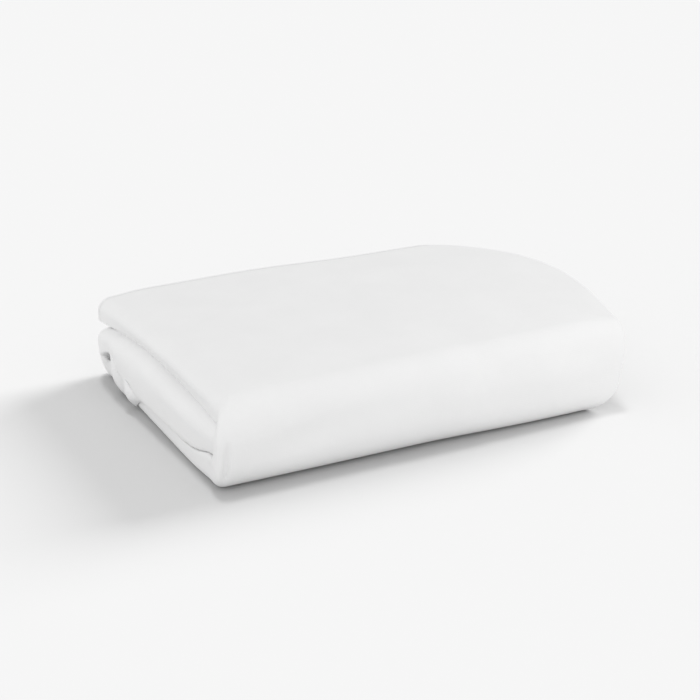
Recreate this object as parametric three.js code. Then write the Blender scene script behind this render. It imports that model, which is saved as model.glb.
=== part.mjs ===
// Folded crib mattress protector, in millimetres.
//
// The protector is a soft white panel with a deep skirt round its edge. It is folded into four
// plies along its length, with the skirt laid flat against the underside, and the strip that this
// makes is folded into thirds across: the upper third wraps down the front, runs under as the lower
// third, and turns up at the back into the middle third, whose free edge ends inside the wrap.
//
// Axes: X runs along the bundle, Y across it with the front at -Y, Z is up. The origin is in the
// middle of the footprint, on the surface that the bundle lies on.

import * as THREE from 'three';

// Cloth
const PANEL_THICKNESS = 2.0;
const SKIRT_THICKNESS = 1.0;
const HEM_THICKNESS = 1.6;

// Heights of the bundle's levels above the surface
const LOWER_TOP = 14.0;
const MIDDLE_TOP = 46.0;
const BUNDLE_HEIGHT = 67.6;
const THIRD_GAP = 0.8;

// Footprint
const FOOTPRINT_CENTRE = { x: 0.8, y: -4.0 };
const WRAP_AXIS_Y = -103.5;
const WRAP_REACH = { outer: 24, inner: 12, innerLeft: 14 };
const WRAP_SQUARENESS = { above: 2.3, below: 3.1, inner: 4.5 };
const WRAP_THINS = { fromX: -170, toX: -60 };
const FRONT_SWELL = { height: 1.2, fromX: -190, overX: 120 };
const BACK_FOLD_Y = 100;
const BACK_FOLD_REACH = { outer: 17, inner: 5 };
const BACK_SQUARENESS = 2.3;
const BACK_SWELL = { height: 1.5, overX: 53 };

// The folded ends: how far they reach out for their thickness, and how blunt each third's end is
// on the outer and the inner side of the strip
const NOSE_STRETCH = 1.05;
const NOSE_SQUARENESS = {
  upper: { outer: 1.9, inner: 4.6 },
  front: { outer: 2.6, inner: 8.0 },
  lower: { outer: 2.5, inner: 5.0 },
  back: { outer: 2.5, inner: 4.0 },
  middle: { outer: 2.3, inner: 3.4 },
};

const TURN_JOINS = {
  front: { below: 'lower', above: 'upper' },
  back: { below: 'lower', above: 'middle' },
};

// Where the folded left ends of the thirds stand, at the back, the middle and the front. The wrap
// stands out further half way up.
const LEFT_TIPS = {
  upper: { back: -175.0, mid: -165.5, front: -169.0 },
  middle: { back: -181.5, mid: -180.0, front: -174.5 },
  lower: { back: -175.0, mid: -176.0, front: -177.0 },
};

const WRAP_STANDS_OUT = 4.5;

// The bowed right ends: how far each third reaches at the crest of the bow, and how far it draws
// in at the front and at the back
const RIGHT_TIPS = {
  upper: { reach: 186, frontInset: 27, backInset: 95 },
  middle: { reach: 181, frontInset: 36, backInset: 62 },
  lower: { reach: 178, frontInset: 54, backInset: 66 },
};
const RIGHT_BOW = { crestY: 8, overFront: 110, overBack: 104, frontPower: 1.7, backPower: 2.2 };

// At the right end the turns of the wrap and the back fold draw in between the thirds. The wrap
// goes from the lower third's reach to the upper's between two angles from level.
const RIGHT_EDGE_X = 120;
const TURN_INSET = 5;
const WRAP_DRAW_IN = { from: -0.6 * Math.PI, to: 0.15 * Math.PI };

// The two inner plies end past the right ends in a slightly waved edge
const OPEN_EDGE = { reach: 3, wave: 2.5, perShare: 4, perPly: 1 };

// The free back edge of the upper third slants forwards towards the right and waves a little
const UPPER_BACK_EDGE = {
  y: 120.5,
  slant: 12,
  fromX: -120,
  overX: 250,
  slantPower: 1.5,
  wave: 1.2,
  waveX: 37,
};

// The free front edge of the middle third is tucked into the wrap, and closes in just inside it.
// It goes this share of the way to the wrap's inner face.
const TUCK_SHARE = 0.87;
const TUCK_GAP = 0.8;

// Stations along the strip, as shares of the distance between the two end folds
const ALONG = [0, 0.04, 0.1, 0.2, 0.34, 0.5, 0.66, 0.8, 0.92, 1];
const END_SKIRT_HEM = 0.5;
const END_SKIRT_FADE = 0.12;

// Stations across the strip: shares of each flat third, and steps round each fold
const ACROSS = {
  upper: [0, 0.02, 0.06, 0.12, 0.2, 0.31, 0.44, 0.58, 0.77, 0.89, 1],
  frontSteps: 8,
  lower: [0.16, 0.33, 0.5, 0.67, 0.84, 1],
  backSteps: 6,
  middle: [0.1, 0.2, 0.34, 0.5, 0.66, 0.82, 0.94, 0.97, 0.985, 1],
};
const SIDE_SKIRT = { upperHem: 0.77, middleHem: 0.2, fade: 0.16 };

// Steps round the end folds: outer and inner on the left, one on the right
const NOSE_STEPS = { leftOuter: 8, leftInner: 4, right: 6 };

// The gathered length of elastic hem that hangs out of the groove between the lower and the middle
// third at the left end. Its waves run from the back end to the front end and stand out most half
// way up. The front end narrows and draws back into the groove.
const RUFFLE = {
  backY: 75,
  frontY: 24,
  grooveX: -177.4,
  aboveGroove: 5.2,
  bottomZ: 3,
  narrowsFrom: 0.62,
  narrowsBy: 0.95,
  goesIn: 0.85,
  standsOff: 1.6,
  underEnd: 0.8,
  bulgesFrom: 0.05,
  bulgesTo: 0.92,
  waves: 2.0,
  waveTwist: 1.1,
  waveHeight: 4.4,
  stepsAlong: 30,
  stepsDown: 7,
};

const WHITE = 0xf4f4f3;

const clamp = (v) => Math.min(1, Math.max(0, v));
const lerp = (a, b, k) => a + (b - a) * k;

function smooth(from, to, v) {
  const k = clamp((v - from) / (to - from));
  return k * k * (3 - 2 * k);
}

// A value given at the back, the middle and the front, at a share k from back to front
function alongDepth(row, k) {
  const lift = 4 * k * (1 - k);
  return lerp(row.back, row.front, k) + lift * (row.mid - (row.back + row.front) / 2);
}

// Low rounded hill, one high at its centre and gone at its rim
function hill(x, y, centre) {
  const dx = (x - centre.x) / centre.rx;
  const dy = (y - centre.y) / centre.ry;
  return Math.exp(-(dx * dx + dy * dy));
}

// How the levels change in plan: they droop towards both ends, rise towards the right, fall towards
// the back, and take hollows, a bulge and a faint ripple
const LEFT_DROOP = { fromX: -184, toX: -130, middle: 1.4, top: 4.0 };
const RIGHT_DROOP = { fromX: 115, toX: 195, middle: 2.4, top: 4.2 };
const RISE = { fromX: -170, toX: 60, lower: 1.6, middle: 1.2, top: 2.2 };
const BACK_FALL = { fromY: 50, toY: 125, left: 1.2, right: 1.4 };
const HOLLOW_UNDER_MIDDLE = { x: -180, y: 90, rx: 26, ry: 26, lower: 1.0, middle: 19.0 };
const HOLLOW_UNDER_UPPER = { x: -178, y: 116, rx: 22, ry: 26, middle: 4.2, upper: 3.4 };
const MIDDLE_BULGE = { x: -170, y: 36, rx: 70, ry: 52, height: 2.6 };
const TOP_DIP = { x: -70, y: 40, rx: 80, ry: 60, height: 0.9 };
const TOP_RISE = { x: 70, y: -10, rx: 90, ry: 70, height: 0.5 };
const TOP_RIPPLE = { height: 0.35, overX: 24, overY: 38 };

// The levels of the three thirds at a place in plan, all measured up from the surface
function levelsAt(x, y) {
  const left = 1 - smooth(LEFT_DROOP.fromX, LEFT_DROOP.toX, x);
  const right = smooth(RIGHT_DROOP.fromX, RIGHT_DROOP.toX, x);
  const rise = smooth(RISE.fromX, RISE.toX, x);
  const back = smooth(BACK_FALL.fromY, BACK_FALL.toY, y);
  const underMiddle = hill(x, y, HOLLOW_UNDER_MIDDLE);
  const underUpper = hill(x, y, HOLLOW_UNDER_UPPER);
  const lowerTop = LOWER_TOP - HOLLOW_UNDER_MIDDLE.lower * underMiddle + RISE.lower * rise;
  const middleBottom = lowerTop + THIRD_GAP + HOLLOW_UNDER_MIDDLE.middle * underMiddle;
  const middleTop = MIDDLE_TOP - LEFT_DROOP.middle * left - RIGHT_DROOP.middle * right
    + RISE.middle * rise + MIDDLE_BULGE.height * hill(x, y, MIDDLE_BULGE)
    - HOLLOW_UNDER_UPPER.middle * underUpper;
  const upperBottom = middleTop + THIRD_GAP + HOLLOW_UNDER_UPPER.upper * underUpper;
  const top = BUNDLE_HEIGHT - LEFT_DROOP.top * left - RIGHT_DROOP.top * right
    - RISE.top * (1 - rise) - (BACK_FALL.left + BACK_FALL.right * rise) * back
    - TOP_DIP.height * hill(x, y, TOP_DIP) + TOP_RISE.height * hill(x, y, TOP_RISE)
    + TOP_RIPPLE.height * Math.sin(x / TOP_RIPPLE.overX - y / TOP_RIPPLE.overY);
  return { lowerTop, middleBottom, middleTop, upperBottom, top };
}

function upperBackEdge(x) {
  const edge = UPPER_BACK_EDGE;
  const slanted = edge.slant * clamp((x - edge.fromX) / edge.overX) ** edge.slantPower;
  return edge.y - slanted - edge.wave * Math.sin(x / edge.waveX);
}

// A quarter turn of a squarish fold: how far it reaches out and up at an angle from level
function foldCurve(angle, squareness) {
  const across = Math.cos(angle);
  const upwards = Math.sin(angle);
  return {
    out: Math.max(0, across) ** (2 / squareness),
    up: Math.sign(upwards) * Math.abs(upwards) ** (2 / squareness),
  };
}

// The wrap's centre height, its inner half height, and the strip's thickness above or below it
function wrapSides(angle, x) {
  const level = levelsAt(x, WRAP_AXIS_Y);
  return {
    centre: (level.lowerTop + level.upperBottom) / 2,
    innerHalf: (level.upperBottom - level.lowerTop) / 2,
    side: angle > 0 ? level.top - level.upperBottom : level.lowerTop,
  };
}

// The same for the back fold
function backSides(angle, x) {
  const level = levelsAt(x, BACK_FOLD_Y);
  return {
    centre: (level.lowerTop + level.middleBottom) / 2,
    innerHalf: (level.middleBottom - level.lowerTop) / 2,
    side: angle > 0 ? level.middleTop - level.middleBottom : level.lowerTop,
  };
}

function turnThickness(angle, side, outer, inner) {
  return Math.hypot(side * Math.sin(angle), (outer - inner) * Math.cos(angle));
}

// The wrap is a little thinner towards the left end
function wrapInner(x) {
  return lerp(WRAP_REACH.innerLeft, WRAP_REACH.inner, smooth(WRAP_THINS.fromX, WRAP_THINS.toX, x));
}

function tuckReach(x) {
  return wrapInner(x) - TUCK_GAP;
}

// Top and bottom of the middle third. Past the wrap's axis they close in on its centre height.
function middleFaces(x, y) {
  const level = levelsAt(x, y);
  const { centre } = wrapSides(0, x);
  const past = clamp((WRAP_AXIS_Y - y) / tuckReach(x));
  const closed = (1 - past ** WRAP_SQUARENESS.inner) ** (1 / WRAP_SQUARENESS.inner);
  return {
    top: centre + (level.middleTop - centre) * closed,
    bottom: centre + (level.middleBottom - centre) * closed,
  };
}

// Each zone of the strip turns a share through its thickness, 0 at the outer face and 1 at the
// inner one, into a place in the bundle, and gives the strip's thickness there
const ZONES = {
  upper: {
    edgePhase: 5,
    y: (at, x) => lerp(upperBackEdge(x), WRAP_AXIS_Y, at),
    place(at, x, share) {
      const y = this.y(at, x);
      const level = levelsAt(x, y);
      return [y, level.top - share * (level.top - level.upperBottom)];
    },
    thickness(at, x) {
      const level = levelsAt(x, this.y(at, x));
      return level.top - level.upperBottom;
    },
    leftTip: (at) => alongDepth(LEFT_TIPS.upper, at),
    rightTip: (at) => rightEnd(RIGHT_TIPS.upper, lerp(upperBackEdge(RIGHT_EDGE_X), WRAP_AXIS_Y, at)),
  },
  front: {
    edgePhase: 5,
    place(angle, x, share) {
      const { centre, innerHalf, side } = wrapSides(angle, x);
      const outer = angle > 0 ? WRAP_SQUARENESS.above : WRAP_SQUARENESS.below;
      const curve = foldCurve(angle, lerp(outer, WRAP_SQUARENESS.inner, share));
      const swell = FRONT_SWELL.height * Math.sin((x - FRONT_SWELL.fromX) / FRONT_SWELL.overX);
      const reach = lerp(WRAP_REACH.outer + swell, wrapInner(x), share);
      return [WRAP_AXIS_Y - reach * curve.out, centre + (innerHalf + (1 - share) * side) * curve.up];
    },
    thickness(angle, x) {
      return turnThickness(angle, wrapSides(angle, x).side, WRAP_REACH.outer, wrapInner(x));
    },
    leftTip(angle) {
      const joined = lerp(LEFT_TIPS.lower.front, LEFT_TIPS.upper.front, 0.5 + angle / Math.PI);
      return joined - WRAP_STANDS_OUT * Math.cos(angle);
    },
    rightTip(angle) {
      const upper = rightEnd(RIGHT_TIPS.upper, WRAP_AXIS_Y);
      const lower = rightEnd(RIGHT_TIPS.lower, WRAP_AXIS_Y);
      const share = smooth(WRAP_DRAW_IN.from, WRAP_DRAW_IN.to, angle);
      return lerp(lower, upper, share) - TURN_INSET * Math.cos(angle);
    },
  },
  lower: {
    edgePhase: 5,
    y: (at) => lerp(WRAP_AXIS_Y, BACK_FOLD_Y, at),
    place(at, x, share) {
      const y = this.y(at);
      return [y, share * levelsAt(x, y).lowerTop];
    },
    thickness(at, x) {
      return levelsAt(x, this.y(at)).lowerTop;
    },
    leftTip: (at) => alongDepth(LEFT_TIPS.lower, 1 - at),
    rightTip(at) {
      return rightEnd(RIGHT_TIPS.lower, this.y(at));
    },
  },
  back: {
    edgePhase: 4,
    place(angle, x, share) {
      const { centre, innerHalf, side } = backSides(angle, x);
      const curve = foldCurve(angle, BACK_SQUARENESS);
      const swell = BACK_SWELL.height * Math.sin(x / BACK_SWELL.overX);
      const reach = lerp(BACK_FOLD_REACH.outer + swell, BACK_FOLD_REACH.inner, share);
      return [BACK_FOLD_Y + reach * curve.out, centre + (innerHalf + (1 - share) * side) * curve.up];
    },
    thickness(angle, x) {
      const { side } = backSides(angle, x);
      return turnThickness(angle, side, BACK_FOLD_REACH.outer, BACK_FOLD_REACH.inner);
    },
    leftTip: (angle) => lerp(LEFT_TIPS.lower.back, LEFT_TIPS.middle.back, 0.5 + angle / Math.PI),
    rightTip(angle) {
      const middle = rightEnd(RIGHT_TIPS.middle, BACK_FOLD_Y);
      const lower = rightEnd(RIGHT_TIPS.lower, BACK_FOLD_Y);
      return lerp(lower, middle, 0.5 + angle / Math.PI) - TURN_INSET * Math.cos(angle);
    },
  },
  middle: {
    edgePhase: 6,
    y: (at, x) => lerp(BACK_FOLD_Y, WRAP_AXIS_Y - TUCK_SHARE * tuckReach(x), at),
    place(at, x, share) {
      const y = this.y(at, x);
      const { top, bottom } = middleFaces(x, y);
      return [y, top - share * (top - bottom)];
    },
    thickness(at, x) {
      const { top, bottom } = middleFaces(x, this.y(at, x));
      return top - bottom;
    },
    leftTip: (at) => alongDepth(LEFT_TIPS.middle, at),
    rightTip(at) {
      return rightEnd(RIGHT_TIPS.middle, this.y(at, RIGHT_EDGE_X));
    },
  },
};

function rightEnd(third, y) {
  const past = y - RIGHT_BOW.crestY;
  if (past > 0) {
    const k = clamp(past / RIGHT_BOW.overBack) ** RIGHT_BOW.backPower;
    return third.reach - third.backInset * (1 - Math.sqrt(1 - k));
  }
  return third.reach - third.frontInset * clamp(-past / RIGHT_BOW.overFront) ** RIGHT_BOW.frontPower;
}

// Rows of stations across the strip, from the free edge of the upper third to that of the middle
function rowsAcross() {
  const rows = ACROSS.upper.map((at) => ({ zone: 'upper', at }));
  for (let i = 1; i <= ACROSS.frontSteps; i += 1) {
    rows.push({ zone: 'front', at: Math.PI * (0.5 - i / ACROSS.frontSteps) });
  }
  ACROSS.lower.forEach((at) => rows.push({ zone: 'lower', at }));
  for (let i = 1; i <= ACROSS.backSteps; i += 1) {
    rows.push({ zone: 'back', at: Math.PI * (i / ACROSS.backSteps - 0.5) });
  }
  ACROSS.middle.forEach((at) => rows.push({ zone: 'middle', at }));
  return rows;
}

// How blunt the folded end is on one side of the strip. Round a turn it goes from the third below
// through the turn's own value to the third above.
function endSquareness(row, side) {
  const own = NOSE_SQUARENESS[row.zone][side];
  const joins = TURN_JOINS[row.zone];
  if (!joins) return own;
  const neighbour = NOSE_SQUARENESS[row.at > 0 ? joins.above : joins.below][side];
  return lerp(own, neighbour, Math.sin(row.at) ** 2);
}

// How fully the side skirt fills the gaps between plies at a row, and whether it is there at all
function sideSkirtFill(row) {
  if (row.zone === 'upper') {
    return 1 - smooth(SIDE_SKIRT.upperHem, SIDE_SKIRT.upperHem + SIDE_SKIRT.fade, row.at);
  }
  if (row.zone === 'middle') {
    return smooth(SIDE_SKIRT.middleHem - SIDE_SKIRT.fade, SIDE_SKIRT.middleHem, row.at);
  }
  return 0;
}

function endSkirtFill(along) {
  return smooth(END_SKIRT_HEM - END_SKIRT_FADE, END_SKIRT_HEM, along);
}

// Depths of the four panel plies through the strip, with room for the skirt where it lies
function plyDepths(thickness, sideFill, endFill) {
  const outerPair = sideFill;
  const innerPair = 1 - (1 - sideFill) * (1 - endFill);
  const cloth = 4 * PANEL_THICKNESS + 2 * (outerPair + innerPair) * SKIRT_THICKNESS;
  const gap = (thickness - cloth) / (3 + 2 * (outerPair + innerPair));
  const first = PANEL_THICKNESS / 2;
  const second = first + PANEL_THICKNESS + gap + outerPair * 2 * (SKIRT_THICKNESS + gap);
  const third = second + PANEL_THICKNESS + gap;
  const fourth = third + PANEL_THICKNESS + gap + innerPair * 2 * (SKIRT_THICKNESS + gap);
  return { gap, plies: [first, second, third, fourth] };
}

// How far the two faces of a layer lie from the middle of its panel ply, towards the underside
const LAYERS = {
  panel: () => [-PANEL_THICKNESS / 2, PANEL_THICKNESS / 2],
  skirt: (gap) => [PANEL_THICKNESS / 2 + gap, PANEL_THICKNESS / 2 + gap + SKIRT_THICKNESS],
};

// The path of the cloth along the strip at one row: the fourth ply from the open edge to the left,
// round to the first, along it and round the right end to the second, back, and out on the third.
// Each stop gives the two faces of the layer as a place along X and a share of the thickness.
function pathAlong(row, layer) {
  const zone = ZONES[row.zone];
  const sideFill = sideSkirtFill(row);
  const leftTip = zone.leftTip(row.at);
  const leftX = leftTip + NOSE_STRETCH * zone.thickness(row.at, leftTip) / 2;
  const rightTip = zone.rightTip(row.at);
  const tipPlies = plyDepths(zone.thickness(row.at, rightTip), sideFill, 1).plies;
  const rightX = rightTip - NOSE_STRETCH * ((tipPlies[1] - tipPlies[0] + PANEL_THICKNESS) / 2);
  const edgeAngle = OPEN_EDGE.perShare * row.at + zone.edgePhase;
  const openEdge = OPEN_EDGE.reach + OPEN_EDGE.wave * Math.sin(edgeAngle);
  const stops = [];

  const straight = (ply, underside, forwards) => {
    const shares = forwards ? ALONG : [...ALONG].reverse();
    shares.forEach((along) => {
      const overhang = ply >= 2 && along === 1 ? openEdge - OPEN_EDGE.perPly * ply : 0;
      const x = lerp(leftX, rightX, along) + overhang;
      const thickness = zone.thickness(row.at, x);
      const { gap, plies } = plyDepths(thickness, sideFill, endSkirtFill(along));
      const faces = LAYERS[layer](gap).map((off) => {
        return { x, share: (plies[ply] + underside * off) / thickness };
      });
      stops.push({ faces, end: ply >= 2, along });
    });
  };

  const turn = (x, endFill, from, to, inwards, way, steps) => {
    const thickness = zone.thickness(row.at, x);
    const { gap, plies } = plyDepths(thickness, sideFill, endFill);
    const middle = (plies[from] + plies[to]) / 2;
    const radius = Math.abs(plies[from] - plies[to]) / 2;
    const start = from > to ? 1 : -1;
    const blunt = { outer: endSquareness(row, 'outer'), inner: endSquareness(row, 'inner') };
    for (let i = 1; i < steps; i += 1) {
      const angle = Math.PI * (0.5 - i / steps);
      const curve = foldCurve(angle, start * angle > 0 ? blunt.inner : blunt.outer);
      const faces = LAYERS[layer](gap).map((off) => {
        const r = radius - inwards * off;
        return {
          x: x + way * NOSE_STRETCH * r * curve.out,
          share: (middle + start * r * curve.up) / thickness,
        };
      });
      stops.push({ faces, end: false, along: endFill });
    }
  };

  straight(3, -1, false);
  turn(leftX, 0, 3, 0, 1, -1, NOSE_STEPS.leftOuter);
  straight(0, 1, true);
  turn(rightX, 1, 0, 1, 1, 1, NOSE_STEPS.right);
  straight(1, -1, false);
  turn(leftX, 0, 1, 2, -1, -1, NOSE_STEPS.leftInner);
  straight(2, 1, true);
  return stops;
}

// A closed sheet from a grid of stops, each with a place on either face. Cells that are left out
// open a hole through it, and every rim gets a wall.
function sheetGeometry(grid, isCloth) {
  const rows = grid.length;
  const columns = grid[0].length;
  const positions = [];
  const index = [];
  grid.forEach((row) => row.forEach((faces) => faces.forEach((point) => positions.push(...point))));
  const vertex = (i, j, face) => 2 * (i * columns + j) + face;
  const quad = (a, b, c, d) => index.push(a, b, c, a, c, d);
  const filled = (i, j) => i >= 0 && j >= 0 && i < rows - 1 && j < columns - 1 && isCloth(i, j);
  for (let i = 0; i < rows - 1; i += 1) {
    for (let j = 0; j < columns - 1; j += 1) {
      if (!filled(i, j)) continue;
      quad(vertex(i, j, 0), vertex(i + 1, j, 0), vertex(i + 1, j + 1, 0), vertex(i, j + 1, 0));
      quad(vertex(i, j, 1), vertex(i, j + 1, 1), vertex(i + 1, j + 1, 1), vertex(i + 1, j, 1));
      const rim = (i0, j0, i1, j1) => {
        quad(vertex(i0, j0, 0), vertex(i1, j1, 0), vertex(i1, j1, 1), vertex(i0, j0, 1));
      };
      if (!filled(i - 1, j)) rim(i, j, i, j + 1);
      if (!filled(i + 1, j)) rim(i + 1, j + 1, i + 1, j);
      if (!filled(i, j - 1)) rim(i + 1, j, i, j);
      if (!filled(i, j + 1)) rim(i, j + 1, i + 1, j + 1);
    }
  }
  const used = [...new Set(index)].sort((a, b) => a - b);
  const renumbered = new Map(used.map((old, i) => [old, i]));
  const geometry = new THREE.BufferGeometry();
  const kept = used.flatMap((old) => positions.slice(3 * old, 3 * old + 3));
  geometry.setAttribute('position', new THREE.Float32BufferAttribute(kept, 3));
  geometry.setIndex(index.map((old) => renumbered.get(old)));
  return geometry;
}

function bundlePoint(row, face) {
  const [y, z] = ZONES[row.zone].place(row.at, face.x, face.share);
  return [face.x - FOOTPRINT_CENTRE.x, y - FOOTPRINT_CENTRE.y, z];
}

function foldedLayer(layer, isCloth) {
  const rows = rowsAcross();
  const paths = rows.map((row) => pathAlong(row, layer));
  const grid = rows.map((row, i) => {
    return paths[i].map((stop) => stop.faces.map((face) => bundlePoint(row, face)));
  });
  return sheetGeometry(grid, (i, j) => isCloth(rows[i], rows[i + 1], paths[i][j], paths[i][j + 1]));
}

// The skirt lies along both long sides and, on the two open plies, across both short ends
function isSkirt(row, nextRow, stop, nextStop) {
  const side = sideSkirtFill(row) === 1 && sideSkirtFill(nextRow) === 1;
  const end = stop.end && nextStop.end && Math.min(stop.along, nextStop.along) >= END_SKIRT_HEM;
  return side || end;
}

// How far in from its tip the middle third's folded end lies at a height on its lower half
function middleEndInset(z, level) {
  const half = (level.middleTop - level.middleBottom) / 2;
  const below = (level.middleTop + level.middleBottom) / 2 - z;
  const share = Math.min(RUFFLE.underEnd, clamp(below / half));
  const squareness = NOSE_SQUARENESS.middle.inner;
  return NOSE_STRETCH * half * (1 - (1 - share ** squareness) ** (1 / squareness));
}

// The middle of the gathered hem at a share k from back to front and a share up from its lower edge.
// It leans from the lower third's end to the middle third's and waves outwards from there.
function rufflePoint(k, up) {
  const y = lerp(RUFFLE.backY, RUFFLE.frontY, k);
  const fromBack = (BACK_FOLD_Y - y) / (BACK_FOLD_Y - WRAP_AXIS_Y);
  const level = levelsAt(RUFFLE.grooveX, y);
  const groove = (level.lowerTop + level.middleBottom) / 2;
  const going = RUFFLE.goesIn * smooth(RUFFLE.narrowsFrom, 1, k);
  const height = 1 - RUFFLE.narrowsBy * Math.sqrt(going);
  const top = groove + RUFFLE.aboveGroove * height;
  const bottom = groove - (groove - RUFFLE.bottomZ) * height;
  const lowerEnd = alongDepth(LEFT_TIPS.lower, fromBack);
  const middleEnd = alongDepth(LEFT_TIPS.middle, fromBack) + middleEndInset(top, level);
  const wave = 0.5 - 0.5 * Math.cos(2 * Math.PI * RUFFLE.waves * k + RUFFLE.waveTwist * up);
  const bulge = Math.sin(Math.PI * lerp(RUFFLE.bulgesFrom, RUFFLE.bulgesTo, up));
  const lean = lerp(lowerEnd, middleEnd, up) - RUFFLE.standsOff;
  const x = lerp(lean - RUFFLE.waveHeight * wave * bulge, RUFFLE.grooveX, going ** 2);
  return new THREE.Vector3(x - FOOTPRINT_CENTRE.x, y - FOOTPRINT_CENTRE.y, lerp(bottom, top, up));
}

// Each stop's two faces lie half a thickness to either side, square to the hem
function ruffleGeometry() {
  const shares = (steps) => Array.from({ length: steps + 1 }, (_, i) => i / steps);
  const reach = 0.01;
  const grid = shares(RUFFLE.stepsAlong).map((k) => {
    return shares(RUFFLE.stepsDown).map((down) => {
      const up = 1 - down;
      const along = rufflePoint(k + reach, up).sub(rufflePoint(k - reach, up));
      const upwards = rufflePoint(k, up + reach).sub(rufflePoint(k, up - reach));
      const square = along.cross(upwards).setLength(HEM_THICKNESS / 2);
      const middle = rufflePoint(k, up);
      return [middle.clone().sub(square).toArray(), middle.clone().add(square).toArray()];
    });
  });
  return sheetGeometry(grid, () => true);
}

function clothMesh(name, geometry, color, roughness) {
  const material = new THREE.MeshStandardMaterial({ color, roughness, metalness: 0 });
  const mesh = new THREE.Mesh(geometry, material);
  mesh.name = name;
  return mesh;
}

const protector = new THREE.Group();
protector.add(clothMesh('panel', foldedLayer('panel', () => true), WHITE, 0.85));
protector.add(clothMesh('skirt', foldedLayer('skirt', isSkirt), WHITE, 0.8));
protector.add(clothMesh('elastic_hem', ruffleGeometry(), WHITE, 0.8));

export default protector;
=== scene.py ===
"""Folded crib mattress protector, dressed for its picture.

The protector is a soft white panel with a deep skirt. It is folded into four plies along its length
and then into thirds across, so one formula places every layer: a row across the strip and a stop
along it give a place along X and a share of the strip's thickness, and the zone that the row lies in
turns these into a place in the bundle. All sizes are in metres, +Z is up, and the bundle lies on z = 0.
"""

import logging
import math
from abc import ABC, abstractmethod
from dataclasses import dataclass
from enum import Enum

import bpy
import numpy as np
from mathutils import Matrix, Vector


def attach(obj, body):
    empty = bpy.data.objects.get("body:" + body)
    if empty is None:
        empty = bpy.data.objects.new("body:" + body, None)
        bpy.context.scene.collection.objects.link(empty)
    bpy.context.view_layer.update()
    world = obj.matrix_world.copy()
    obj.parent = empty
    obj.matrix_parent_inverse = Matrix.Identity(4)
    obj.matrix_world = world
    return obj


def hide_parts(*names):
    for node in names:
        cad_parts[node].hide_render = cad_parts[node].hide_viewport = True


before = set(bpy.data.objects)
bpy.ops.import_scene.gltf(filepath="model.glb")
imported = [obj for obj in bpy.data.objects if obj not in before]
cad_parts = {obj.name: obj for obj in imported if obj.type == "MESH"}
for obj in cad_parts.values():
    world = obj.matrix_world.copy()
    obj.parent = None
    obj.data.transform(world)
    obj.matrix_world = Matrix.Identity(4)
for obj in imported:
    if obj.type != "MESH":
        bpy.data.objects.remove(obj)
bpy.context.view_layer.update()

Grid = np.ndarray
Pair = tuple[float, float]
Socket = bpy.types.NodeSocket
Sockets = bpy.types.bpy_prop_collection

log = logging.getLogger("protector")
BODY = "root"
QUARTER = math.pi / 2


# Small helpers on whole arrays


def smooth(low: float, high: float, value: Grid) -> Grid:
    """Soft step from 0 to 1: the cubic 3k^2 - 2k^3 of the clamped share k.

    Args:
        low: Value at which the step starts.
        high: Value at which the step ends.
        value: Where to read it.

    Returns:
        The step at each value.
    """
    k = np.clip((value - low) / (high - low), 0.0, 1.0)
    return k * k * (3.0 - 2.0 * k)


def blend(start: Grid, end: Grid, share: Grid) -> Grid:
    """Straight line from start to end at a share of the way."""
    return start + (end - start) * share


def squarish(angle: Grid, squareness: Grid) -> tuple[Grid, Grid]:
    """Superellipse: both the cosine and the sine are raised to 2 / squareness.

    Args:
        angle: Angle from level, in radians.
        squareness: 2 gives an ellipse, and more gives blunter corners.

    Returns:
        How far the curve reaches out, and how far up, each from -1 to 1.
    """
    across = np.maximum(np.cos(angle), 0.0)
    upwards = np.sin(angle)
    power = 2.0 / squareness
    return across**power, np.sign(upwards) * np.abs(upwards) ** power


@dataclass(frozen=True)
class Hill:
    """A low rounded rise in plan: exp(-(dx/rx)^2 - (dy/ry)^2), times its height."""

    x: float
    y: float
    rx: float
    ry: float
    height: float = 1.0

    def at(self, x: Grid, y: Grid) -> Grid:
        """The rise at places in plan."""
        return self.height * np.exp(-(((x - self.x) / self.rx) ** 2) - ((y - self.y) / self.ry) ** 2)


@dataclass(frozen=True)
class Wave:
    """A slow wave along X: height * sin((x - start) / length)."""

    height: float
    start: float
    length: float

    def at(self, x: Grid) -> Grid:
        """The wave at places along X."""
        return self.height * np.sin((x - self.start) / self.length)


@dataclass(frozen=True)
class DepthRow:
    """A value given at the back, the middle and the front, joined by one parabola."""

    back: float
    mid: float
    front: float

    def at(self, share: Grid) -> Grid:
        """The value at a share of the way from back to front."""
        lift = 4.0 * share * (1.0 - share)
        return blend(self.back, self.front, share) + lift * (self.mid - (self.back + self.front) / 2)


# The bundle's own sizes


@dataclass(frozen=True)
class ClothSizes:
    """Thickness of each cloth."""

    panel: float = 0.0020
    skirt: float = 0.0010
    hem: float = 0.0016


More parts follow.
